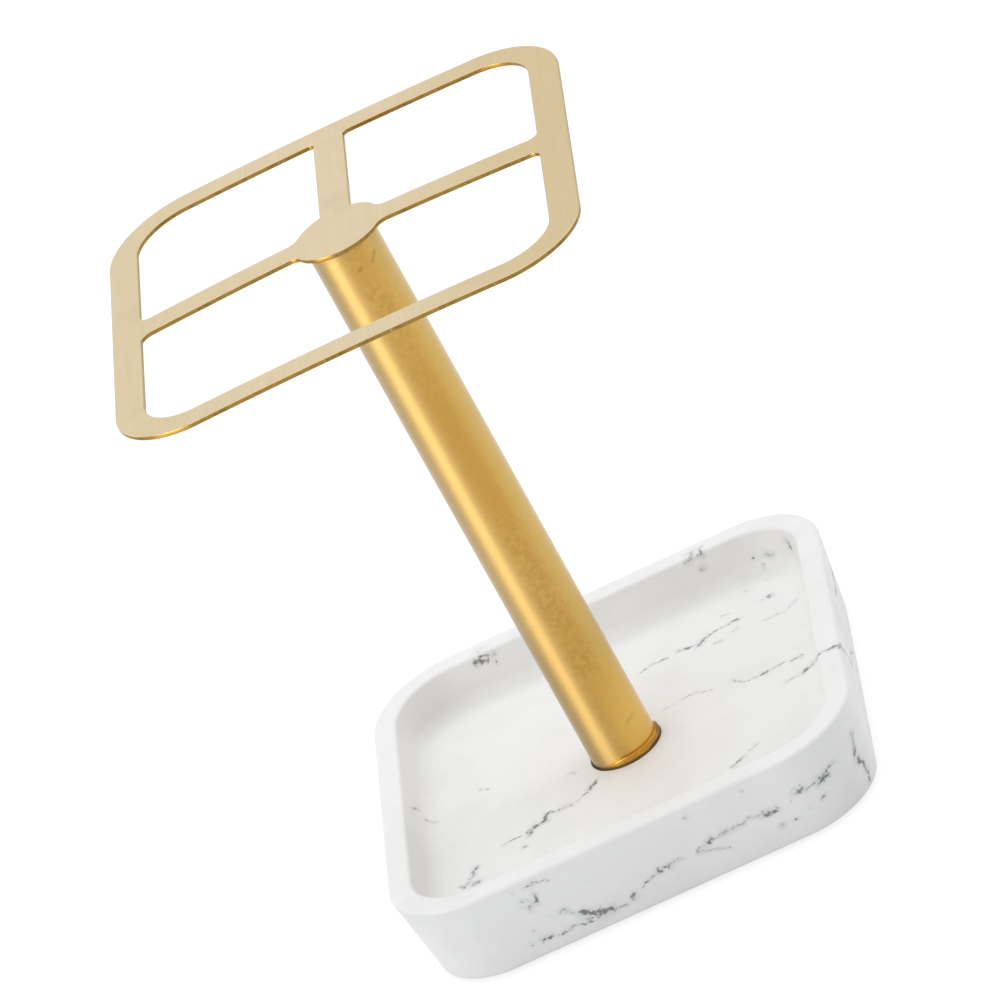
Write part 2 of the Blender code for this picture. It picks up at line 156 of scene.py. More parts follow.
class Finish(Graph):
    # A material with one Principled shader. What varies is passed as wires, and what doesn't as numbers.
    def __init__(self, name, preview):
        self.material = bpy.data.materials.new(name)
        self.material.use_nodes = True
        self.material.diffuse_color = (*preview, 1.0)
        super().__init__(self.material.node_tree)
        self.tree.nodes.clear()
        self.place = self.node("ShaderNodeTexCoord").out("Object")
        self.facing = self.place.out("Normal")

    def noise(self, scale, detail=2.0, roughness=0.5, stretch=None, output=0):
        place = self.place * stretch if stretch else self.place
        sockets = {"Vector": place, "Scale": scale, "Detail": detail, "Roughness": roughness}
        return self.node("ShaderNodeTexNoise", {}, sockets, output)

    def layer(self, under, tone, mask):
        # lays a tone, which comes with its share, over a colour
        colour, share = tone
        return self.mixed(under, colour, mask * share)

    def close(self, colour, rough, height, depth, strength, **others):
        bump = {"Strength": strength, "Distance": depth * mm, "Height": height}
        sockets = {name.replace("_", " "): value for name, value in others.items()}
        sockets["Normal"] = self.node("ShaderNodeBump", {}, bump)
        sockets |= {"Base Color": colour, "Roughness": rough}
        return self.end(self.node("ShaderNodeBsdfPrincipled", {}, sockets))

    def end(self, shader):
        output = self.tree.nodes.new("ShaderNodeOutputMaterial")
        self.tree.links.new(shader.socket, output.inputs[0])
        return self.material


# Finishes. A tone in a pair comes with its share, from 0 to 1.

marble = {
    "white": (0.835, 0.838, 0.838),
    "shade": ((0.775, 0.778, 0.775), 0.5),
    "warm shade": ((0.800, 0.790, 0.765), 0.15),
    "vein": ((0.070, 0.072, 0.080), 0.82),
    "smudge": (0.40, 0.415, 0.44),
    "smudge shares": (0.34, 0.12),  # beside the veins and in loose flecks
    "roughness": (0.42, 0.56),
    "waver": 1.2,  # how far a vein strays from its drawn route, mm
    "breaks": 7.5,  # how strongly the fine grain breaks the veins up
    "gaps": 2.6,  # and the coarse grain
    "fading": 1.6,  # how much wider than its core a faint vein lies, in widths
}

# Veins by face. A face has its axes, the two of its points first, its place on the third, how far about it
# veins show, and the veins. A vein has its width, how faint it is and its points, all in mm. A fleck has one
# point. The points were picked by eye in the photo, and a scratch script worked out their mm with the
# fitted camera. Back and left are invented.
veinFields = {
    "recess floor": ("XYZ", 12.4, 2.6, [
        (0.38, 0.15, -7.5, -9, -9.5, -12), (0.28, 0.6, -9.5, -12, -12.5, -14.5),
        (0.4, 0.25, -14.5, -15, -17, -14.5),
        (0.42, 0, -18.5, -14.5, -20, -14, -20.5, -16.5, -23.5, -17, -24.5, -19.5), (0.4, 0.15, -26, -23.5),
        (0.28, 0.65, -24.5, -18, -27.5, -18.5, -31, -18.5), (0.3, 0.6, -12.5, -2, -13.5, -1),
        (0.36, 0.1, -38, -23, -39, -26), (0.3, 0.4, -39, -26, -41, -29.5, -42, -28),
        (0.42, 0.05, -39, -29.5, -37.5, -29.5), (0.26, 0.62, -35, 9.5, -33, 8),
        (0.26, 0.62, -48, 5, -46.5, 4), (0.32, 0.3, 31, 32.5, 28, 32.5, 23.5, 31.5),
        (0.4, 0, 23.5, 31.5, 20.5, 29), (0.34, 0.2, 20.5, 29, 19.5, 29.5, 16, 30.5),
        (0.28, 0.5, 12.5, 29.5, 9.5, 29.5, 6, 28.5), (0.24, 0.75, 29, 36.5, 27, 37),
        (0.28, 0.45, 30, 28.5, 29, 28), (0.28, 0.5, 26, 26.5, 24.5, 26.5), (0.34, 0.25, 43.5, 4, 41.5, 4),
        (0.28, 0.6, 39.5, 4.5, 35, 4, 33, 3.5, 29, 4.5, 27, 7), (0.34, 0.35, 34.5, 4, 33, 3.5),
        (0.22, 0.72, 22, 7, 18, 9, 14.5, 8.5, 10, 7.5), (0.4, 0.2, 47.5, -0.5, 46, -1.5, 43, -4),
        (0.3, 0.65, 43, -4, 39, -4), (0.26, 0.6, 33.5, 43.5), (0.22, 0.75, 39, 44),
        (0.4, 0.1, 38.5, 36.5, 39, 36), (0.3, 0.5, 37, 36), (0.2, 0.78, 45, 29.5, 41.5, 26, 36, 27),
        (0.24, 0.7, 30.5, -24.5, 28.5, -26), (0.34, 0.3, 27, -27.5, 24, -29.5), (0.24, 0.75, 47, -15),
    ]),
    "inner back wall": ("XZY", 50.5, 2.5, [
        (0.4, 0.05, 27.5, 21.5), (0.38, 0.25, 24, 21.5, 25.5, 22), (0.32, 0.2, 26.5, 18.5),
        (0.42, 0.3, 41, 15.5, 42, 15.5), (0.36, 0.65, 38, 16), (0.28, 0.45, 39, 13.5),
        (0.5, 0, -29.5, 20.5, -27.5, 20), (0.48, 0.6, -28, 21.5, -25, 20.5), (0.3, 0.25, -25.5, 18.5),
    ]),
    "inner right wall": ("YZX", 47.3, 1.5, [
        (0.6, 0.3, 44, 18.5, 43.7, 17.5),
    ]),
    "inner left wall": ("YZX", -49.0, 1.5, [
        (0.26, 0.45, 4, 18, 8, 15), (0.26, 0.65, 7.5, 19.5),
    ]),
    "rim": ("XYZ", 22.1, 1.0, [
        (0.34, 0.15, 54.9, -17.8, 55.5, -17.5),
    ]),
    "right": ("YZX", 53.0, 3.0, [
        (0.38, 0.1, -17, 21.8, -15, 19.5), (0.34, 0.55, -15, 19.5, -9, 15, -7.5, 12.5),
        (0.3, 0.6, -7.5, 12.5, -8.5, 11), (0.3, 0.4, -8, 11, 2, 9, 9, 5),
        (0.3, 0.25, 20, 14, 28, 12, 33, 13), (0.34, 0.2, -43, 15, -44.5, 10.5), (0.44, 0, -44, 9, -43, 7.5),
        (0.38, 0.15, -43, 7.5, -42, 4, -42.5, 2.5),
    ]),
    "front": ("XZY", -52.0, 3.0, [
        (0.3, 0.5, 46.5, 14, 43, 12.5, 39, 12.5, 37.5, 13), (0.55, 0, 44, 12.5, 43, 12.3),
        (0.42, 0.1, 38.5, 13, 37.5, 13), (0.34, 0.3, 41.5, 8.5), (0.34, 0.3, 34.5, 6.5),
        (0.36, 0.25, 31, 6.5), (0.24, 0.65, 38, 7.5), (0.24, 0.6, 35.5, 11.5),
        (0.46, 0, 31.5, 11, 28.5, 11), (0.28, 0.5, 28.5, 11, 25.5, 12, 21, 11, 17, 11),
        (0.34, 0.28, 24, 11.5, 23, 11.5), (0.34, 0.25, 20, 11.5, 19, 11.5), (0.42, 0.05, 16, 11, 15, 10.5),
        (0.26, 0.5, 14, 10, 12, 10), (0.26, 0.52, 12, 9.5, 15.5, 8, 18.5, 7),
        (0.26, 0.55, 8.5, 9.5, 5.5, 9.5, -0.5, 8, -2.5, 7), (0.38, 0.2, 6, 9.5, 5, 9),
        (0.42, 0.05, 3, 9, 2.5, 9), (0.4, 0.15, -4.5, 6, -5, 5.5), (0.3, 0.45, -7, 4.5, -9.5, 5),
        (0.5, -0.05, -10.5, 5, -12, 5, -13, 6, -14.5, 6, -16.5, 7.5), (0.26, 0.5, -17, 8, -18.5, 8.5),
        (0.36, 0.3, -19.5, 9.5, -20.5, 10), (0.7, 0.6, -13, 5, -16, 5),
        (0.3, 0.45, -15.5, 4, -19.5, 5, -23.5, 4.5), (0.4, 0.15, -25, 5, -27, 5),
        (0.3, 0.5, -29.5, 5, -30.5, 5), (0.28, 0.6, -19.5, 19, -22, 20, -24.5, 19.5),
        (0.34, 0.35, -23.5, 17, -24, 15, -25, 15), (0.36, 0.35, -26, 14, -25.5, 14.5),
        (0.25, 0.6, -25.5, 14, -27.5, 15), (0.26, 0.6, -25, 16, -27, 16.5), (0.22, 0.75, -27.5, 19.5),
        (0.32, 0.25, 13.5, 19), (0.26, 0.65, 27, 19), (0.22, 0.7, -28, 8.5),
    ]),
    "back": ("XZY", 55.5, 2.0, [
        (0.34, 0.1, -38, 17, -28, 13, -20, 12), (0.44, 0.05, -20, 12, -8, 9, 2, 8),
        (0.28, 0.3, 2, 8, 12, 4), (0.34, 0.15, 16, 15, 27, 18, 33, 17),
    ]),
    "left": ("YZX", -54.0, 3.0, [
        (0.4, 0.1, -30, 14, -18, 12, -10, 8), (0.32, 0.25, -10, 8, 0, 7, 8, 4),
        (0.36, 0.1, 14, 15, 24, 16, 31, 13),
    ]),
}


def runsOf(route):
    # the straight runs of a vein's route; a fleck has one, without length
    points = [Vector((first * mm, second * mm, 0.0)) for first, second in zip(route[::2], route[1::2])]
    return list(zip(points, points[1:])) or [(points[0], points[0])]


def distanceTo(finish, place, start, end):
    if start == end:
        return finish.distance(place, start)
    run = end - start
    offset = place - start
    share = finish.clamped(finish.dot(offset, run / run.length_squared))
    return finish.distance(offset, finish.vector("SCALE", run, Scale=share))


def nearestVein(finish, crooked):
    # distance to the nearest vein in widths of that vein, more where it is faint
    parts = dict(zip("XYZ", finish.axes(crooked)))
    nearest = None
    for axes, place, reach, veins in veinFields.values():
        first, second, third = (parts[name] for name in axes)
        beyond = finish.most(abs(third - place * mm) - reach * mm, 0.0)
        flat = finish.combined(first, second, beyond)
        for width, faintness, *route in veins:
            for start, end in runsOf(route):
                widths = distanceTo(finish, flat, start, end) * (1 / (width * mm))
                widths = widths + faintness * marble["fading"]
                nearest = widths if nearest is None else finish.least(nearest, widths)
    return nearest


def makeMarble():
    finish = Finish("marbleResin", marble["white"])
    waver = finish.noise(scale=420, detail=3, roughness=0.6, output=1) - (0.5, 0.5, 0.5)
    nearest = nearestVein(finish, finish.place + waver * (2 * marble["waver"] * mm))
    grain = finish.noise(scale=1000, detail=3, roughness=0.65)
    patchy = finish.noise(scale=300)
    broken = nearest + (grain - 0.5) * marble["breaks"] + (patchy - 0.5) * marble["gaps"]
    core = broken.smooth(1.9, -0.2)
    smudge = nearest.smooth(5.0, 0.6) * patchy.smooth(0.36, 0.60, 0.40, 1.0)
    fleck = finish.noise(scale=330).smooth(0.70, 0.78)
    mottle = finish.noise(scale=70, detail=5, roughness=0.6).smooth(0.42, 0.72)
    warm = finish.noise(scale=38).smooth(0.48, 0.75)
    besideVeins, inFlecks = marble["smudge shares"]
    colour = finish.layer(marble["white"], marble["shade"], mottle)
    colour = finish.layer(colour, marble["warm shade"], warm)
    colour = finish.mixed(colour, marble["smudge"], finish.clamped(smudge * besideVeins + fleck * inFlecks))
    colour = finish.layer(colour, marble["vein"], core)
    rough = (mottle + grain * 0.4).smooth(0.1, 1.1, *marble["roughness"])
    height = finish.noise(scale=150) + grain * 0.12 - core * 0.10
    return finish.close(colour, rough, height, depth=0.10, strength=0.35, IOR=1.5)


post = {"bore": 7.0, "radius": 8.0, "bottom": 11.2, "top": 153.3, "rounding": 0.25}
brass = {
    "colour": (0.625, 0.352, 0.058),
    "tarnish": ((0.540, 0.292, 0.042), 0.5),
    "worn": ((0.670, 0.410, 0.095), 0.4),
    # a darker, more saturated tone on the front of the post at mid height, a painted dark reflection
    "darkReflection": ((0.590, 0.322, 0.036), 0.8),
    "darkReflection place": (1.0, -7.9, 97.0),  # mm
    "darkReflection reach": (34.0, 8.0),  # how far off it begins and is full, mm
    "sides": [  # painted highlight, shade and reflection tones round the post: bearing in degrees, where the tone begins and is full, and the tone
        # paler beside the lamp's highlight, a painted highlight
        (-132.0, 0.62, 0.95, (0.603, 0.393, 0.116)),
        # darker at the left edge, painted shade
        (-158.0, 0.80, 0.97, (0.464, 0.304, 0.090)),
        # paler on the right, a painted reflection
        (10.0, 0.25, 0.75, (0.615, 0.395, 0.082)),
    ],
    # a brighter tone low on the right of the post, a painted reflection
    "paintedSheen": ((0.830, 0.520, 0.100), 0.9),
    "paintedSheen height": (44.0, 18.0),  # where it begins and is full, mm
    "paintedSheen right": (-1.0, 3.5),  # and from left to right
    "mark": (0.330, 0.175, 0.035),
    "roughness": (0.45, 0.51),
    "anisotropic": 0.78,
    "lacquer": 0.9,  # weight of the clear coat
    "lacquer roughness": 0.30,
    "marks": [  # width in mm, strength, and both ends in mm
        (0.75, 0.55, (6.1, -5.2, 149.2), (4.8, -6.4, 147.5)),
        (0.80, 0.55, (1.5, -7.8, 147.5), (2.0, -7.7, 147.7)),
        (0.80, 0.25, (6.0, -5.3, 21.6), (4.4, -6.7, 20.9)),
    ],
}


def facingShare(x, y, bearing, radius):
    # 1 where a round surface about the post faces the bearing, 0 a quarter turn from there
    side = math.radians(bearing)
    return (x * math.cos(side) + y * math.sin(side)) * (1 / (radius * mm))


def makeSatinBrass():
    finish = Finish("satinBrass", brass["colour"])
    blotch = finish.noise(scale=800, detail=3, roughness=0.55)
    cloud = finish.noise(scale=90, detail=3)
    x, y, z = finish.axes(finish.place)
    tarnish = (blotch + (cloud - 0.5) * 0.8).smooth(0.46, 0.70)
    worn = (blotch - (cloud - 0.5) * 0.5).smooth(0.50, 0.32)
    fromDarkReflection = finish.distance(finish.place, Vector(brass["darkReflection place"]) * mm)
    # painted reflection, brighter low on the right of the post
    paintedSheen = z.rise(brass["paintedSheen height"]) * x.rise(brass["paintedSheen right"])
    colour = finish.layer(brass["colour"], brass["tarnish"], tarnish)
    colour = finish.layer(colour, brass["worn"], worn)
    # painted dark reflection on the front of the post
    colour = finish.layer(colour, brass["darkReflection"], fromDarkReflection.rise(brass["darkReflection reach"]))
    # painted highlight, shade and reflection tones by bearing round the post
    for bearing, begins, full, tone in brass["sides"]:
        facing = facingShare(x, y, bearing, post["radius"])
        colour = finish.mixed(colour, tone, facing.smooth(begins, full))
    colour = finish.layer(colour, brass["paintedSheen"], paintedSheen)
    for width, strength, start, end in brass["marks"]:
        away = distanceTo(finish, finish.place, Vector(start) * mm, Vector(end) * mm)
        share = (away + (blotch - 0.5) * mm).smooth(width * mm, 0.0) * strength
        colour = finish.mixed(colour, brass["mark"], share)
    rough = blotch.smooth(0.30, 0.70, *brass["roughness"])
    return finish.close(colour, rough, blotch, depth=0.02, strength=0.05, Metallic=1.0,
                        Anisotropic=brass["anisotropic"], Anisotropic_Rotation=0.25,
                        Coat_Weight=brass["lacquer"], Coat_Roughness=brass["lacquer roughness"])


ring = {
    "bore": 8.05,
    "radius": 8.76,
    "bottom": 11.2,
    "top": 14.25,
    "rounding": 0.30,
    "thin radius": 8.10,
    "thin top": 12.6,
    "thick side": -45.0,  # degrees about the post
    "thin until": 0.45,  # share of the turn towards the thick side
    "grows over": 0.45,
}
sleeve = {
    "colour": (0.560, 0.285, 0.042),
    "worn": (0.660, 0.380, 0.090),
    "orange side": -40.0,  # degrees about the post; the ring's orange brass shows there, partly its own colour and partly painted warm reflection between ring and post
    # colour of the painted shade and shadow
    "gap shade": (0.060, 0.035, 0.015),
    "foot gap shade": (13.1, 12.6, 0.85),  # painted shade at the foot, where the ring meets the tray: the heights in mm where it begins and is full, and its share
    "side gap shade": (7.9, 8.6, 0.6),  # painted shadow at the right edge: the same, from left to right
    "roughness": (0.26, 0.40),
}


def makeSleeveBrass():
    # the foot ring is darker than the post, with painted shade where it meets the tray and a painted shadow
    # at its right edge
    finish = Finish("sleeveBrass", sleeve["colour"])
    blotch = finish.noise(scale=420, detail=4, roughness=0.62)
    ripple = finish.noise(scale=190)
    x, y, z = finish.axes(finish.place)
    *heights, footShare = sleeve["foot gap shade"]
    *reaches, sideShare = sleeve["side gap shade"]
    # painted shade, darker towards the foot
    low = (z + (ripple - 0.5) * (1.2 * mm)).rise(heights)
    gapShaded = finish.most(low * footShare, x.rise(reaches) * sideShare)
    facing = facingShare(x, y, sleeve["orange side"], ring["radius"])
    colour = finish.mixed(sleeve["colour"], sleeve["worn"], blotch.smooth(0.45, 0.65))
    # the post's colour away from the orange side; the orange is partly painted warm reflection between ring
    # and post
    colour = finish.mixed(brass["colour"], colour, facing.smooth(0.1, 0.6))
    # painted shade at the foot and painted shadow at the right edge, dull and not metal
    colour = finish.mixed(colour, sleeve["gap shade"], gapShaded)
    rough = blotch.smooth(0.30, 0.70, *sleeve["roughness"]) + gapShaded * 0.5
    return finish.close(colour, rough, blotch, depth=0.02, strength=0.2, Metallic=1 - gapShaded)


gold = {
    "colour": (0.730, 0.600, 0.380),
    "pale": (0.775, 0.650, 0.432),
    "smudge": ((0.660, 0.540, 0.335), 0.45),
    "rosy": ((0.760, 0.590, 0.405), 0.4),
    "deep": ((0.675, 0.530, 0.290), 0.85),
    "deep reach": (5.0, 50.0),  # where it begins and is full, mm from the middle
    "deep left": 0.25,  # how much of it the left has
    # the rounded top edge: paler where it faces the front, a painted highlight, and darker where it faces
    # back, painted shade
    "front edge": (0.800, 0.630, 0.385),
    # darker where the edge faces along glint from, painted shade over the glint
    "glint shade edge": (0.450, 0.280, 0.090),
    "glint from": (-0.341, -0.849, 0.402),  # the direction that sends the left strip to the camera
    "back edge": (0.560, 0.470, 0.260),
    "edge tilt": (0.975, 0.75),  # upright part of the normal where it begins and is full
    # the side faces' darker, more saturated brass: partly the edge's own colour, partly painted shade
    "side": (0.330, 0.205, 0.050),
    "side tarnish": ((0.220, 0.130, 0.030), 0.8),
    "side shear": ((0.730, 0.600, 0.380), 0.25),
    # a warmer tone on side faces that face front and a little left, a painted glint
    "painted side glint": (0.660, 0.355, 0.070),
    "painted side glint from": (-0.342, -0.940, 0.0),
    "side roughness": (0.26, 0.40),
    "roughness": (0.30, 0.42),
}


def makeBrushedGold():
    finish = Finish("brushedGold", gold["colour"])
    strokes = finish.noise(scale=2300, detail=3, roughness=0.6, stretch=(1, 0.02, 1))
    bands = finish.noise(scale=420, stretch=(1, 0.10, 1))
    x, y, z = finish.axes(finish.place)
    onLeft = (x * -1).rise(gold["deep reach"]) * gold["deep left"]
    outer = finish.most(x.rise(gold["deep reach"]), onLeft)
    pale = (strokes + (bands - 0.5) * 0.6).smooth(0.36, 0.70)
    colour = finish.mixed(gold["colour"], gold["pale"], pale)
    colour = finish.layer(colour, gold["smudge"], finish.noise(scale=60, detail=3).smooth(0.52, 0.74))
    colour = finish.layer(colour, gold["rosy"], finish.noise(scale=110).smooth(0.50, 0.72))
    colour = finish.layer(colour, gold["deep"], outer)
    sideways, backward, upward = finish.axes(finish.facing)
    glint = finish.dot(finish.facing, gold["glint from"])
    # painted highlight on front-facing edges and painted shade on back-facing ones
    edge = finish.mixed(gold["back edge"], gold["front edge"], backward.smooth(0.0, -0.3))
    # painted shade over the left strip's glint
    edge = finish.mixed(edge, gold["glint shade edge"], glint.smooth(0.86, 0.99))
    colour = finish.mixed(colour, edge, upward.smooth(*gold["edge tilt"]))
    rough = (strokes * 0.6 + bands * 0.4).smooth(0.35, 0.65, *gold["roughness"])
    return finish.close(colour, rough, strokes, depth=0.02, strength=0.30, Metallic=1.0)


# side faces of the plate: a darker copy of the gold, partly the edge's own brass and partly painted shade
def makeGoldEdge():
    finish = Finish("goldEdge", gold["side"])
    blotch = finish.noise(scale=420, detail=4, roughness=0.6)
    shear = finish.noise(scale=1800, stretch=(1, 1, 0.2))
    # painted glint where the side faces front and a little left
    glow = finish.dot(finish.facing, gold["painted side glint from"])
    colour = finish.layer(gold["side"], gold["side tarnish"], blotch.smooth(0.42, 0.66))
    colour = finish.layer(colour, gold["side shear"], shear.smooth(0.60, 0.80))
    colour = finish.mixed(colour, gold["painted side glint"], glow.smooth(0.955, 0.995))
    rough = shear.smooth(0.30, 0.70, *gold["side roughness"])
    return finish.close(colour, rough, shear, depth=0.02, strength=0.25, Metallic=1.0)


zinc = {
    "colour": (0.60, 0.61, 0.62),
    "dull": ((0.44, 0.45, 0.46), 0.8),
    "roughness": (0.24, 0.42),
}


def makeZincSteel():
    finish = Finish("zincSteel", zinc["colour"])
    spangle = finish.node("ShaderNodeTexVoronoi", {}, {"Vector": finish.place, "Scale": 900.0})
    grain = finish.noise(scale=700, detail=3)
    lathe = finish.noise(scale=90, detail=1, stretch=(1, 1, 40))
    dull = (grain + spangle * 0.3).smooth(0.45, 0.85)
    colour = finish.layer(zinc["colour"], zinc["dull"], dull)
    rough = (grain + (lathe - 0.5) * 0.4).smooth(0.30, 0.70, *zinc["roughness"])
    return finish.close(colour, rough, grain + lathe, depth=0.02, strength=0.25, Metallic=1.0)


rubber = {
    "colour": (0.76, 0.76, 0.74),
    "dusty": ((0.62, 0.61, 0.58), 0.7),
    "roughness": (0.50, 0.68),
}


def makePadRubber():
    finish = Finish("padRubber", rubber["colour"])
    dust = finish.noise(scale=380, detail=4, roughness=0.6)
    grain = finish.noise(scale=2500, detail=1)
    colour = finish.layer(rubber["colour"], rubber["dusty"], dust.smooth(0.45, 0.75))
    rough = dust.smooth(0.3, 0.7, *rubber["roughness"])
    return finish.close(colour, rough, grain + dust * 0.5, depth=0.04, strength=0.3)


print("finishes")
marbleFinish = makeMarble()
brassFinish = makeSatinBrass()
sleeveFinish = makeSleeveBrass()
goldFinish = makeBrushedGold()
goldEdgeFinish = makeGoldEdge()
zincFinish = makeZincSteel()
rubberFinish = makePadRubber()


# Mesh helpers

sharpFrom = math.radians(38)  # edges that turn more stay sharp
mergeWithin = 0.002 * mm
roundingSteps = 5


def addObject(name, data):
    piece = bpy.data.objects.new(name, data)
    scene.collection.objects.link(piece)
    return piece


def evaluatedMesh(piece):
    bpy.context.view_layer.update()
    graph = bpy.context.evaluated_depsgraph_get()
    result = piece.evaluated_get(graph)
    return bpy.data.meshes.new_from_object(result, preserve_all_data_layers=True, depsgraph=graph)


def plainMesh(piece):
    # freezes what the modifiers make into the piece's own mesh
    mesh = evaluatedMesh(piece)
    piece.modifiers.clear()
    piece.data = mesh


def addMesh(name, mesh, *finishes):
    # makes an edited mesh into an object
    data = bpy.data.meshes.new(name)
    for finish in finishes:
        data.materials.append(finish)
    mesh.to_mesh(data)
    mesh.free()
    return addObject(name, data)


def settle(piece, slot, *nodes):
    # keeps flat faces flat beside their rounded edges, and joins the piece to the frame for its CAD nodes
    piece.data.shade_smooth()
    piece.data.set_sharp_from_angle(angle=sharpFrom)
    soft = piece.modifiers.new("flat faces lead", "WEIGHTED_NORMAL")
    soft.keep_sharp = True
    plainMesh(piece)
    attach(piece, "root")
    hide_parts(*nodes)
    print(piece.name, len(piece.data.polygons), "faces")


def arcAbout(centre, start, end, steps):
    # points of the shorter arc about a centre, with both ends
    first = start - centre
    turn = -first.angle_signed(end - centre)
    points = []
    for step in range(steps + 1):
        angle = math.atan2(first.y, first.x) + turn * step / steps
        points.append(centre + Vector((math.cos(angle), math.sin(angle))) * first.length)
    return points


def roundedCorner(before, corner, after, radius, steps):
    toBefore = (before - corner).normalized()
    toAfter = (after - corner).normalized()
    half = toBefore.angle(toAfter) / 2
    reach = radius / math.tan(half)
    centre = corner + (toBefore + toAfter).normalized() * (radius / math.sin(half))
    return arcAbout(centre, corner + toBefore * reach, corner + toAfter * reach, steps)


def turned(name, corners, finish, steps, closed=True):
    # revolves a profile of (radius, height, rounding) in mm about the post's axis
    points = []
    for index, (radius, height, rounding) in enumerate(corners):
        here = Vector((radius, height))
        if rounding == 0:
            points.append(here)
            continue
        before, after = (Vector(corners[at % len(corners)][:2]) for at in (index - 1, index + 1))
        points += roundedCorner(before, here, after, rounding, roundingSteps)
    mesh = bmesh.new()
    circles = []
    for point in points:
        if point.x == 0:
            circles.append([mesh.verts.new((0.0, 0.0, point.y * mm))] * steps)
            continue
        circle = []
        for step in range(steps):
            angle = fullTurn * step / steps
            x, y = point.x * mm * math.cos(angle), point.x * mm * math.sin(angle)
            circle.append(mesh.verts.new((x, y, point.y * mm)))
        circles.append(circle)
    pairs = list(zip(circles, circles[1:]))
    if closed:
        pairs.append((circles[-1], circles[0]))
    for lower, upper in pairs:
        for step in range(steps):
            following = (step + 1) % steps
            # at the axis two of the four corners are one
            face = list(dict.fromkeys([lower[step], lower[following], upper[following], upper[step]]))
            if len(face) > 2:
                mesh.faces.new(face)
    bmesh.ops.recalc_face_normals(mesh, faces=mesh.faces)
    return addMesh(name, mesh, finish)


def tubeSection(sizes, *roundings):
    # the corners of a tube's wall, from the bore's lower end outwards, each with its share of the rounding
    bore, radius, bottom, top = (sizes[key] for key in ("bore", "radius", "bottom", "top"))
    corners = ((bore, bottom), (radius, bottom), (radius, top), (bore, top))
    return [(*corner, sizes["rounding"] * share) for corner, share in zip(corners, roundings)]


# Geometry Nodes trees

class ShapeTree(Graph):
    # A Geometry Nodes tree with a named input for each size in mm and each whole number of steps.
    def __init__(self, name, sizes):
        tree = bpy.data.node_groups.new(name, "GeometryNodeTree")
        super().__init__(tree)
        tree.interface.new_socket("Geometry", in_out="OUTPUT", socket_type="NodeSocketGeometry")
        self.values = {}
        for label, value in sizes.items():
            steps = isinstance(value, int)
            kind = "NodeSocketInt" if steps else "NodeSocketFloat"
            entry = tree.interface.new_socket(label, in_out="INPUT", socket_type=kind)
            self.values[entry.identifier] = value if steps else value * mm
        given = self.node("NodeGroupInput")
        self.size = {label: given.out(label) for label in sizes}

    def byIndex(self, kind, values):
        # one value for each point, in order
        sockets = dict(enumerate([self.node("GeometryNodeInputIndex"), *values]))
        return self.node("GeometryNodeIndexSwitch", {"data_type": kind, "items": len(values)}, sockets)

    def moved(self, geometry, **where):
        return self.node("GeometryNodeSetPosition", {}, {"Geometry": geometry, **where})

    def merged(self, geometry):
        sockets = {"Geometry": geometry, "Distance": mergeWithin}
        return self.node("GeometryNodeMergeByDistance", {}, sockets)

    def realized(self, geometry):
        return self.node("GeometryNodeRealizeInstances", {}, {0: geometry})

    def section(self, corners, closed):
        # an outline through corners of (distance from the middle, height, rounding)
        places = [self.combined(out, 0.0, height) for out, height, rounding in corners]
        line = self.node("GeometryNodeMeshLine", {}, {"Count": len(corners)})
        line = self.moved(line, Position=self.byIndex("VECTOR", places))
        curve = self.node("GeometryNodeMeshToCurve", {}, {"Mesh": line})
        curve = self.node("GeometryNodeSetSplineCyclic", {}, {"Geometry": curve, "Cyclic": closed})
        radii = self.byIndex("FLOAT", [rounding for out, height, rounding in corners])
        sockets = {"Curve": curve, "Count": self.size["arc steps"], "Radius": radii, "Limit Radius": True}
        return self.node("GeometryNodeFilletCurve", {"mode": "POLY"}, sockets)

    def rings(self, section, stations, closed):
        # a grid with a row for each point of the section; gives the grid, and the station, distance from the
        # middle and height of each of its points
        points = self.node("GeometryNodeAttributeDomainSize", {"component": "CURVE"}, {0: section})
        rows = points + 1 if closed else points
        grid = self.node("GeometryNodeMeshGrid", {}, {"Vertices X": stations + 1, "Vertices Y": rows})
        index = self.node("GeometryNodeInputIndex")
        station = self.maths("FLOOR", index / rows)
        row = self.maths("MODULO", index - station * rows, points)
        sockets = {0: section, 1: self.node("GeometryNodeInputPosition"), 2: row}
        settings = {"data_type": "FLOAT_VECTOR", "domain": "POINT"}
        out, depth, height = self.axes(self.node("GeometryNodeSampleIndex", settings, sockets))
        return grid, station, out, height

    def circle(self, angle):
        # the point at an angle on a circle of radius 1
        return self.combined(self.maths("COSINE", angle), self.maths("SINE", angle), 0.0)

    def underCorners(self, thing, height):
        # the same thing under each of the tray's four corners
        spread = self.size["pad spread"] * 2
        sockets = {"Size X": spread, "Size Y": spread, "Vertices X": 2, "Vertices Y": 2}
        points = self.node("GeometryNodeMeshGrid", {}, sockets)
        points = self.moved(points, Offset=self.combined(0.0, self.size["backward"], height))
        sockets = {"Points": points, "Instance": thing}
        return self.realized(self.node("GeometryNodeInstanceOnPoints", {}, sockets))

    def finish(self, geometry, material, name):
        sockets = {"Geometry": self.realized(self.merged(geometry)), "Material": material}
        geometry = self.node("GeometryNodeSetMaterial", {}, sockets)
        end = self.tree.nodes.new("NodeGroupOutput")
        self.tree.links.new(geometry.socket, end.inputs[0])
        piece = addObject(name, bpy.data.meshes.new(name))
        maker = piece.modifiers.new(self.tree.name, "NODES")
        maker.node_group = self.tree
        for identifier, value in self.values.items():
            maker[identifier] = value
        plainMesh(piece)
        mesh = bmesh.new()
        mesh.from_mesh(piece.data)
        bmesh.ops.recalc_face_normals(mesh, faces=mesh.faces)
        mesh.to_mesh(piece.data)
        mesh.free()
        return piece


# Tray

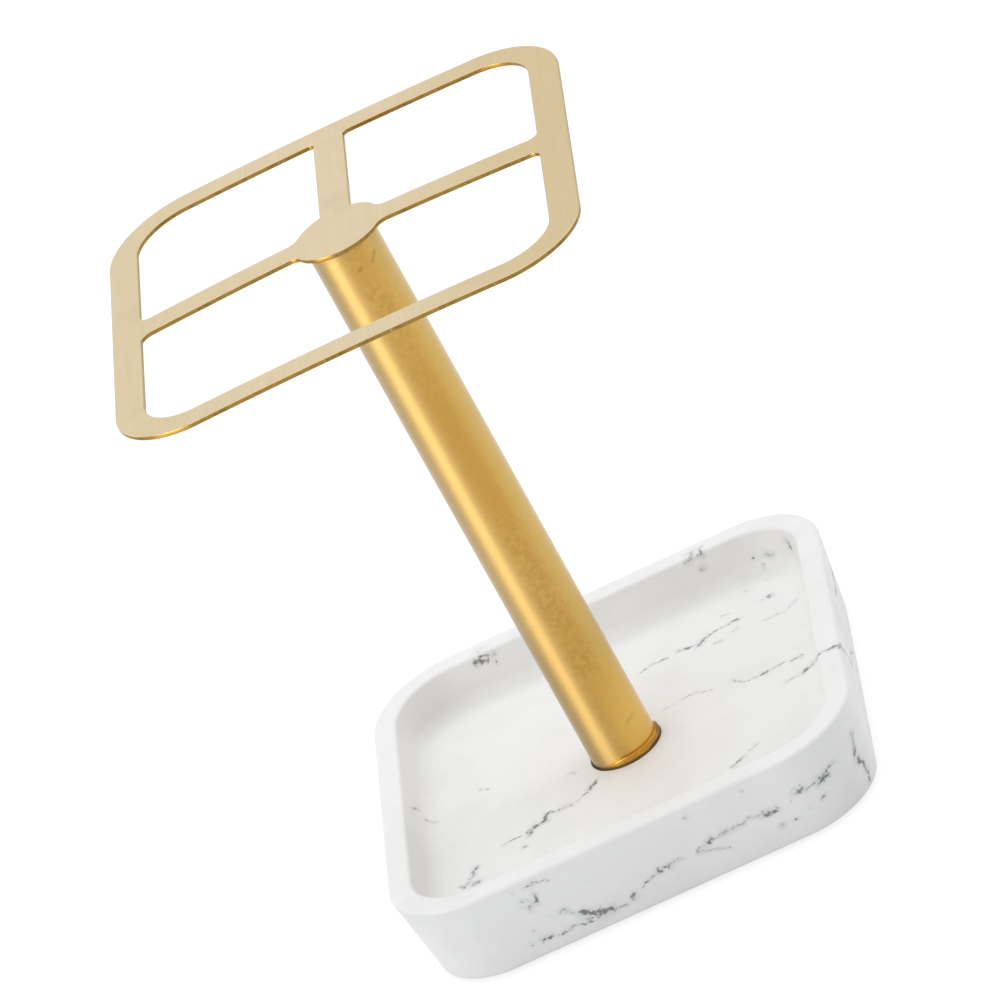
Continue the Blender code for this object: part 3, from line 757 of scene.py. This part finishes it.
tray = {
    "half width": 55.5,
    "corner radius": 20.3,
    "backward": 1.2,
    "bottom": 0.8,
    "top": 22.1,
    "draft": 2.7,
    "bottom rounding": 1.0,
    "rim width": 5.6,
    "rim rounding": 0.8,
    "floor": 12.4,
    "recess draft": 1.2,
    "floor rounding": 3.2,
    "socket radius": 8.52,
    "socket right": 0.26,  # how far the socket's middle lies off the post's
    "socket forward": 0.24,
    "socket floor": 10.9,
    "socket rounding": 0.35,
    "hole radius": 3.5,
    "pocket radius": 10.0,
    "pocket roof": 6.9,
    "pad seat radius": 5.3,
    "pad seat depth": 1.1,
    "pad spread": 37.8,
    "blend margin": 0.5,  # flat floor left as it is beside wall and socket
    "corner steps": 26,
    "side steps": 14,
    "arc steps": 8,
    "seat steps": 64,
}


def makeTray():
    tree = ShapeTree("tray from its section", tray)
    size = tree.size
    half, draft, bottom, top = size["half width"], size["draft"], size["bottom"], size["top"]
    hole, socket, pocket = size["hole radius"], size["socket radius"], size["pocket radius"]
    floor, socketFloor, roof = size["floor"], size["socket floor"], size["pocket roof"]
    rimRounding, floorRounding, margin = size["rim rounding"], size["floor rounding"], size["blend margin"]
    rimHalf = half + draft * rimRounding / (top - bottom)
    innerHalf = half - size["rim width"]
    footHalf = innerHalf - size["recess draft"]
    section = tree.section([
        (hole, roof, 0.0),
        (pocket, roof, 0.0),
        (pocket, bottom, size["socket rounding"]),
        (half - draft, bottom, size["bottom rounding"]),
        (rimHalf, top, rimRounding),
        (innerHalf, top, rimRounding),
        (footHalf, floor, floorRounding),
        (socket, floor, size["socket rounding"]),
        (socket, socketFloor, 0.0),
        (hole, socketFloor, 0.0),
    ], True)
    perQuarter = size["corner steps"] + size["side steps"]
    grid, station, out, height = tree.rings(section, perQuarter * 4, True)

    # each quarter of the outline turns round one corner and then runs along one side
    quarter = tree.maths("FLOOR", station / perQuarter)
    within = station - quarter * perQuarter
    turn = tree.least(within / size["corner steps"], 1.0)
    slide = tree.clamped((within - size["corner steps"]) / size["side steps"])
    facing = (quarter + turn) * (math.pi / 2)
    corner = (quarter + 0.5) * (math.pi / 2)
    here, following = tree.circle(corner), tree.circle(corner + math.pi / 2)
    base = (here * (1 - slide) + following * slide) * ((half - size["corner radius"]) * math.sqrt(2))
    normal = tree.circle(facing)

    # rings outside the flat floor follow the outline, and those inside draw in to a circle about the post
    flatHalf = footHalf - floorRounding - margin
    offset = tree.most(out, flatHalf) - (half - size["corner radius"])
    squarePlace = base + tree.combined(0.0, size["backward"], 0.0) + normal * offset
    above = tree.maths("GREATER_THAN", height, (socketFloor + roof) * 0.5)
    roundReach = above * (socket + margin) + (1 - above) * (pocket + margin)
    roundness = tree.clamped((flatHalf - out) / (flatHalf - roundReach))
    bearing = tree.vector("NORMALIZE", base + normal * size["corner radius"])
    shifted = above * tree.clamped((out - hole) / (socket - hole))
    shift = tree.combined(size["socket right"], size["socket forward"] * -1, 0.0) * shifted
    roundPlace = bearing * tree.least(out, roundReach) + shift
    place = squarePlace * (1 - roundness) + roundPlace * roundness + tree.combined(0.0, 0.0, height)
    shell = tree.merged(tree.moved(grid, Position=place))

    depth = size["pad seat depth"]
    sockets = {"Vertices": size["seat steps"], "Radius": size["pad seat radius"], "Depth": depth * 4}
    drills = tree.underCorners(tree.node("GeometryNodeMeshCylinder", {}, sockets), bottom - depth)
    settings = {"operation": "DIFFERENCE", "solver": "EXACT"}
    shell = tree.node("GeometryNodeMeshBoolean", settings, {"Mesh 1": shell, "Mesh 2": drills})
    settle(tree.finish(shell, marbleFinish, "marbleTray"), "marble_resin", "tray_base")


pads = {
    "radius": 5.0,
    "height": 1.6,
    "rounding": 0.3,
    "dish radius": 3.6,
    "dish depth": 0.25,
    "pad spread": 37.8,
    "backward": 1.2,
    "round steps": 72,
    "arc steps": 4,
}


def makePads():
    tree = ShapeTree("pads under the corners", pads)
    size = tree.size
    radius, dish, rounding = size["radius"], size["dish radius"], size["rounding"]
    section = tree.section([
        (0.0, size["dish depth"], 0.0),
        (dish, size["dish depth"], rounding),
        (dish + rounding, 0.0, rounding * 0.5),
        (radius, 0.0, rounding),
        (radius, size["height"], rounding),
        (0.0, size["height"], 0.0),
    ], False)
    grid, station, out, height = tree.rings(section, size["round steps"], False)
    angle = station / size["round steps"] * fullTurn
    place = tree.circle(angle) * out + tree.combined(0.0, 0.0, height)
    pad = tree.merged(tree.moved(grid, Position=place))
    piece = tree.finish(tree.underCorners(pad, 0.0), rubberFinish, "trayPads")
    settle(piece, "pad_rubber", "pad_front_left", "pad_front_right", "pad_back_left", "pad_back_right")


# Post

def makePost():
    piece = turned("brassPost", tubeSection(post, 0, 1, 1, 0), brassFinish, steps=256)
    settle(piece, "satin_brass", "post_tube")


def makeFootRing():
    # the ring sits off the post's middle, so it stands out on one side only
    piece = turned("footRing", tubeSection(ring, 0, 0, 1, 0), sleeveFinish, steps=256)
    bore, radius, bottom = ring["bore"] * mm, ring["radius"] * mm, ring["bottom"] * mm
    for vert in piece.data.vertices:
        bearing = math.atan2(vert.co.y, vert.co.x) - math.radians(ring["thick side"])
        share = min(max((0.5 + 0.5 * math.cos(bearing) - ring["thin until"]) / ring["grows over"], 0.0), 1.0)
        share = share * share * (3 - 2 * share)
        out = math.hypot(vert.co.x, vert.co.y)
        thickness = (ring["thin radius"] * mm - bore) * (1 - share) / (radius - bore) + share
        rise = (ring["thin top"] - ring["bottom"]) * (1 - share) / (ring["top"] - ring["bottom"]) + share
        scaled = (bore + (out - bore) * thickness) / out
        vert.co = (vert.co.x * scaled, vert.co.y * scaled, bottom + (vert.co.z - bottom) * rise)
    settle(piece, "satin_brass", "foot_ring")


# Plate

plate = {
    "half length": 54.5,
    "front": -56.5,
    "back": 53.5,
    "corner": (19.2, 28),  # corners have their radius and number of steps
    "top": 154.8,
    "thickness": 1.2,
    "crown": 1.2,  # how much lower the short sides lie than the middle
    "edge rounding": 0.36,
    "opening half": 47.5,
    "opening back": 47.3,
    "opening front": -50.0,
    "opening corner": (12.0, 28),
    "half bar": 3.65,
    "half arm": 3.4,
    "arm sweep": 1.3,  # how far the arms' outer ends lie in front of the post
    "disc radius": 10.4,
    "bar corner": (1.2, 8),
    "arm corner": (2.3, 8),
    "bar fillet": 0.8,
    "arm fillet": 3.0,
    "fillet steps": 8,
    "disc steps": 28,  # along each back opening, and twice as many along the front one
    "crown stations": 56,
    "side normals": (-0.95, 0.45),  # upright part of the normals of side faces
}
middle = Vector((0.0, 0.0))


def barIntoDisc(along, across, halfWidth, fillet):
    # points from a bar's edge round a fillet to the disc's rim
    sideways = halfWidth + fillet
    reach = math.sqrt((plate["disc radius"] + fillet) ** 2 - sideways ** 2)
    centre = along * reach + across * sideways
    onDisc = centre.normalized() * plate["disc radius"]
    return arcAbout(centre, centre - across * fillet, onDisc, plate["fillet steps"])


def outerHalf(side, edge, start):
    # from a point on the outer band round the opening's outer corner and along the arm to the disc
    right = side * plate["opening half"]
    along = Vector((right, -plate["arm sweep"])).normalized()
    across = Vector((-along.y, along.x)) * side * edge
    arm = barIntoDisc(along, across, plate["half arm"], plate["arm fillet"])
    armCorner = Vector((right, edge * plate["half arm"] / abs(along.x) - plate["arm sweep"]))
    outerCorner = Vector((right, start.y))
    points = roundedCorner(start, outerCorner, armCorner, *plate["opening corner"])
    return points + roundedCorner(outerCorner, armCorner, arm[0], *plate["arm corner"]) + arm


def backOpening(side):
    back = plate["opening back"]
    barCorner = Vector((side * plate["half bar"], back))
    outerCorner = Vector((side * plate["opening half"], back))
    bar = barIntoDisc(Vector((0.0, 1.0)), Vector((float(side), 0.0)), plate["half bar"], plate["bar fillet"])
    points = roundedCorner(bar[0], barCorner, outerCorner, *plate["bar corner"])
    points += outerHalf(side, 1, barCorner)
    points += arcAbout(middle, points[-1], bar[-1], plate["disc steps"])[1:-1]
    return points + bar[::-1]


def frontOpening():
    start = Vector((0.0, plate["opening front"]))
    right, left = (outerHalf(side, -1, start) for side in (1, -1))
    disc = arcAbout(middle, right[-1], left[-1], plate["disc steps"] * 2)[1:-1]
    return right + disc + left[::-1]


def plateOutline():
    right, back, front = plate["half length"], plate["back"], plate["front"]
    corners = [Vector(corner) for corner in ((right, back), (-right, back), (-right, front), (right, front))]
    points = []
    for index, corner in enumerate(corners):
        points += roundedCorner(corners[index - 1], corner, corners[(index + 1) % 4], *plate["corner"])
    return points


def makePlate():
    rounding = plate["edge rounding"] * mm
    curve = bpy.data.curves.new("plateOutline", "CURVE")
    curve.dimensions = "2D"
    curve.fill_mode = "BOTH"
    curve.bevel_depth = rounding
    curve.bevel_resolution = 3
    curve.offset = -rounding
    curve.extrude = plate["thickness"] * mm / 2 - rounding
    for loop in (plateOutline(), backOpening(-1), backOpening(1), frontOpening()):
        spline = curve.splines.new("POLY")
        spline.points.add(len(loop) - 1)
        for target, point in zip(spline.points, loop):
            target.co = (point.x * mm, point.y * mm, 0.0, 1.0)
        spline.use_cyclic_u = True
    outline = addObject("plateOutline", curve)
    mesh = bmesh.new()
    mesh.from_mesh(evaluatedMesh(outline))
    bpy.data.objects.remove(outline)
    bmesh.ops.remove_doubles(mesh, verts=mesh.verts, dist=mergeWithin)

    # cut across and lowered towards its short sides
    half = plate["half length"] * mm
    for station in range(1, plate["crown stations"]):
        place = half * (2 * station / plate["crown stations"] - 1)
        bmesh.ops.bisect_plane(mesh, geom=mesh.verts[:] + mesh.edges[:] + mesh.faces[:],
                               plane_co=(place, 0, 0), plane_no=(1, 0, 0), dist=mergeWithin / 2)
    level = (plate["top"] - plate["thickness"] / 2) * mm
    for vert in mesh.verts:
        vert.co.z += level - plate["crown"] * mm * (vert.co.x / half) ** 2
    bmesh.ops.recalc_face_normals(mesh, faces=mesh.faces)
    lowest, highest = plate["side normals"]
    for face in mesh.faces:
        face.material_index = 1 if lowest < face.normal.z < highest else 0
    settle(addMesh("brushPlate", mesh, goldFinish, goldEdgeFinish), "brushed_brass", "holder_plate")


# Hidden fixing

washer = {"bore": 3.3, "radius": 9.0, "bottom": 5.1, "top": 6.6, "rounding": 0.25}
screw = {
    "head bottom": 1.4,
    "head top": 4.8,
    "head radius": 5.75,
    "dome": 1.2,
    "tip": 24.2,
    "radius": 3.0,
    "thread depth": 0.45,
    "drive length": 6.2,
    "drive width": 1.2,
    "drive depth": 1.8,
    "neck": 1.6,  # plain length below the head, and where the thread is at full depth
    "thread start": 2.2,
    "tip chamfer": 0.6,
    "rounding": 0.2,
    "rim roundings": (0.15, 0.25),
    "dome steps": 8,
}


def makeWasher():
    piece = turned("steelWasher", tubeSection(washer, 1, 1, 1, 1), zincFinish, steps=128)
    settle(piece, "zinc_steel", "flat_washer")


def makeScrew():
    # the head's dome is an arc through its middle and its rim
    drop, reach, steps = screw["dome"], screw["head radius"], screw["dome steps"]
    ballRadius = (reach ** 2 + drop ** 2) / (2 * drop)
    dome = []
    for step in range(steps + 1):
        out = reach * step / steps
        height = screw["head bottom"] + ballRadius - math.sqrt(ballRadius ** 2 - out ** 2)
        dome.append((out, height, 0.0))
    core = screw["radius"] - screw["thread depth"]
    under, tip, chamfer = screw["head top"], screw["tip"], screw["tip chamfer"]
    rounding = screw["rounding"]
    lowRim, highRim = screw["rim roundings"]
    body = dome[:-1] + [
        (reach, dome[-1][1], lowRim),
        (reach, under, highRim),
        (screw["radius"], under, 0.0),
        (screw["radius"], under + screw["neck"], rounding),
        (core, under + screw["thread start"], rounding),
        (core, tip - chamfer, rounding),
        (core - chamfer, tip, rounding),
        (0.0, tip, 0.0),
    ]
    piece = turned("fixingScrew", body, zincFinish, steps=96, closed=False)
    length, width, depth = (screw[key] * mm for key in ("drive length", "drive width", "drive depth"))
    mesh = bmesh.new()
    for quarterTurn in (0, 90):
        box = bmesh.ops.create_cube(mesh, size=1.0)
        size = Matrix.Diagonal((length, width, depth * 2, 1.0))
        turn = Matrix.Rotation(math.radians(quarterTurn), 4, "Z")
        lift = Matrix.Translation((0, 0, screw["head bottom"] * mm))
        bmesh.ops.transform(mesh, matrix=lift @ turn @ size, verts=box["verts"])
    cutter = addMesh("crossDrive", mesh)
    cut = piece.modifiers.new("cross drive", "BOOLEAN")
    cut.operation = "DIFFERENCE"
    cut.solver = "EXACT"
    cut.use_self = True
    cut.object = cutter
    plainMesh(piece)
    bpy.data.objects.remove(cutter)
    settle(piece, "zinc_steel", "fixing_screw")


print("pieces")
makeTray()
makePads()
makePost()
makeFootRing()
makePlate()
makeWasher()
makeScrew()
for name in ("tube_plug", "threaded_insert"):
    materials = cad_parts[name].data.materials
    materials.clear()
    materials.append(zincFinish)


# Stage

stage = {
    "floor half": 4.0,  # metres
    "floor colours": ((0.77, 0.77, 0.77), (0.75, 0.75, 0.75)),
    "floor glow": 1.27,  # white shown in the floor where the camera or a reflection sees it
    "floor glow share": 0.62,
    "world for surfaces": 0.80,
    "world dims": [  # directions from which matt surfaces get less light, and how much less
        ((0.80, -0.60, 0.0), 0.26),
        ((0.0, 1.0, 0.0), 0.36),
    ],
    "world seen": 1.0,
}


def seenShare(graph):
    # 1 where the camera or a reflection looks straight at a surface
    path = graph.node("ShaderNodeLightPath")
    reflected = graph.most(path.out("Is Glossy Ray"), path.out("Is Transmission Ray"))
    return graph.most(path.out("Is Camera Ray"), reflected)


def makeFloor():
    mesh = bmesh.new()
    bmesh.ops.create_grid(mesh, x_segments=8, y_segments=8, size=stage["floor half"])
    finish = Finish("paleFloor", (0.9, 0.9, 0.9))
    colour = finish.mixed(*stage["floor colours"], finish.noise(scale=0.8, detail=1))
    sockets = {"Base Color": colour, "Roughness": 0.9, "Specular IOR Level": 0.0}
    matt = finish.node("ShaderNodeBsdfPrincipled", {}, sockets)
    glow = finish.node("ShaderNodeEmission", {}, {"Strength": stage["floor glow"]})
    share = seenShare(finish) * stage["floor glow share"]
    mix = finish.node("ShaderNodeMixShader", {}, {0: share, 1: matt, 2: glow})
    addMesh("paleFloor", mesh, finish.end(mix))


def makeWorld():
    world = bpy.data.worlds.new("studioWorld")
    world.use_nodes = True
    scene.world = world
    world.node_tree.nodes.clear()
    graph = Graph(world.node_tree)
    direction = graph.node("ShaderNodeTexCoord").out("Generated")
    level = stage["world for surfaces"]
    for side, loss in stage["world dims"]:
        level = level - graph.dot(direction, side).smooth(0.2, 0.8) * loss
    lamp, shown = (
        graph.node("ShaderNodeBackground", {}, {"Color": (*white, 1.0), "Strength": strength})
        for strength in (level, stage["world seen"])
    )
    mix = graph.node("ShaderNodeMixShader", {}, {0: seenShare(graph), 1: lamp, 2: shown})
    end = world.node_tree.nodes.new("ShaderNodeOutputWorld")
    world.node_tree.links.new(mix.socket, end.inputs[0])


# Lamps: place and size in metres, power in watts, colour, and which surfaces see them
white = (1.0, 1.0, 1.0)
lamps = {
    "overheadSoftbox": ((-0.10, 0.50, 1.55), (1.7, 1.7), 11.9, (0.94, 0.98, 1.0), "matt"),
    "frontLeftSoftbox": ((-1.15, -1.20, 0.60), (2.0, 1.0), 6.0, white, "matt"),
    "backRightSoftbox": ((1.30, 0.55, 0.60), (0.9, 0.9), 3.6, white, "matt"),
    "leftStrip": ((-0.765, -0.644, 0.42), (0.55, 0.75), 7.4, white, "glossy"),
    "rightPanel": ((1.10, 0.00, 0.25), (1.2, 0.9), 1.0, white, "glossy"),
}
lampAim = (0.0, 0.0, 0.08)  # metres


def makeLamps():
    for name, (place, size, power, colour, seenBy) in lamps.items():
        lamp = bpy.data.lights.new(name, "AREA")
        lamp.shape = "RECTANGLE"
        lamp.size, lamp.size_y = size
        lamp.energy = power
        lamp.color = colour
        holder = addObject(name, lamp)
        away = (Vector(place) - Vector(lampAim)).to_track_quat("Z", "Y")
        holder.matrix_world = Matrix.Translation(place) @ away.to_matrix().to_4x4()
        holder.visible_diffuse = seenBy == "matt"
        holder.visible_glossy = seenBy == "glossy"


# Camera, fitted to the photograph

camera = {
    "place": (300.94, -1688.62, 908.41),  # mm
    "azimuth": 10.02,  # degrees
    "elevation": 25.79,
    "roll": 29.20,
    "focal length": 314.56,  # mm, on a sensor of this width
    "sensor width": 36.0,
    "sees": (0.01, 20.0),  # nearest and farthest, metres
}


def makeCamera():
    azimuth, elevation, roll = (math.radians(camera[key]) for key in ("azimuth", "elevation", "roll"))
    level = Vector((math.cos(azimuth), math.sin(azimuth), 0.0))
    flat = math.cos(elevation)
    forward = Vector((-math.sin(azimuth) * flat, math.cos(azimuth) * flat, -math.sin(elevation)))
    upright = level.cross(forward)
    right = level * math.cos(roll) - upright * math.sin(roll)
    up = level * math.sin(roll) + upright * math.cos(roll)
    lens = bpy.data.cameras.new("photoCamera")
    lens.sensor_width = camera["sensor width"]
    lens.lens = camera["focal length"]
    lens.clip_start, lens.clip_end = camera["sees"]
    holder = addObject("photoCamera", lens)
    turn = Matrix((right, up, -forward)).transposed().to_4x4()
    holder.matrix_world = Matrix.Translation(Vector(camera["place"]) * mm) @ turn
    scene.camera = holder


print("stage")
makeFloor()
makeWorld()
makeLamps()
makeCamera()
scene.view_settings.view_transform = "Standard"

bpy.context.view_layer.update()
